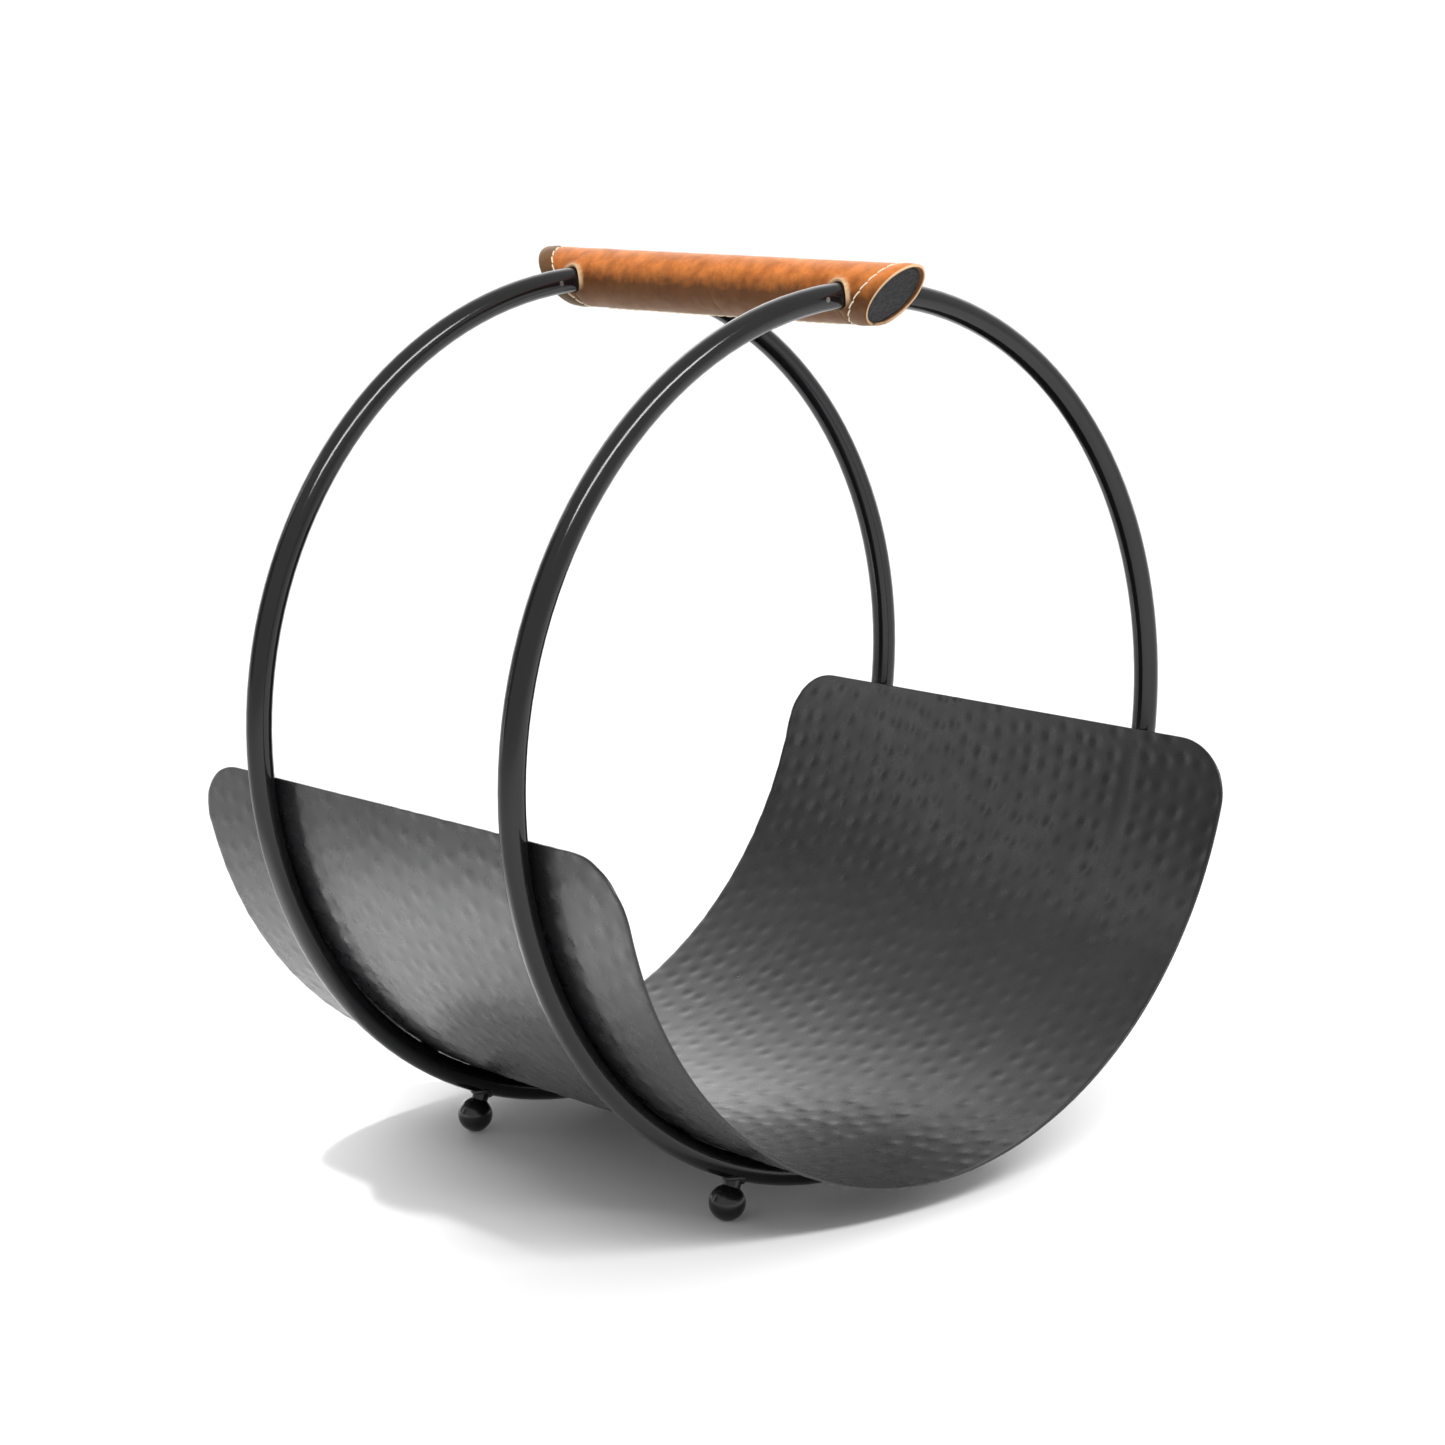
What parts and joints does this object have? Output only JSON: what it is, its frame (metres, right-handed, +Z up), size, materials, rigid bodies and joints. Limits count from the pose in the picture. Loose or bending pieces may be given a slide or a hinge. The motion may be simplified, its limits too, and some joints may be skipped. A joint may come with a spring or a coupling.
{
  "type": "firewood log rack",
  "caption": "Carrying rack for firewood: two round tube hoops, a rolled hammered sheet cradle, ball feet and a leather wrapped bar handle on top.",
  "frame": {"origin": "on the floor, midway between the four feet", "axes": "+Z up; +Y along the cradle and the handle, towards the rear hoop; +X across the hoops, towards the right"},
  "size_m": [0.418, 0.305, 0.4303],
  "materials": {
    "hoop_black": "gloss black powder coat",
    "ball_black": "gloss black powder coat",
    "cradle_black": "satin black coat on hammered sheet",
    "weld_black": "painted over weld beads",
    "bare_steel": "uncoated mild steel",
    "pin_steel": "coated pin with a worn face",
    "padding_foam": "dense black foam, cut faces showing",
    "tan_leather": "oiled pull-up leather, mottled tan",
    "cream_thread": "waxed sewing thread"
  },
  "bodies": {
    "root": {"front_hoop": "hoop_black", "rear_hoop": "hoop_black", "front_splice_rod": "bare_steel", "rear_splice_rod": "bare_steel", "front_splice_pins": "pin_steel", "rear_splice_pins": "pin_steel", "cradle_sheet": "cradle_black", "front_cradle_welds": "weld_black", "rear_cradle_welds": "weld_black", "handle_core": "bare_steel", "front_core_weld": "weld_black", "rear_core_weld": "weld_black", "handle_padding": "padding_foam", "leather_sleeve": "tan_leather", "front_end_stitching": "cream_thread", "rear_end_stitching": "cream_thread", "seam_stitching": "cream_thread", "front_left_stud": "hoop_black", "front_right_stud": "hoop_black", "rear_left_stud": "hoop_black", "rear_right_stud": "hoop_black", "front_left_ball": "ball_black", "front_right_ball": "ball_black", "rear_left_ball": "ball_black", "rear_right_ball": "ball_black", "front_foot_welds": "weld_black", "rear_foot_welds": "weld_black"}
  },
  "joints": []
}
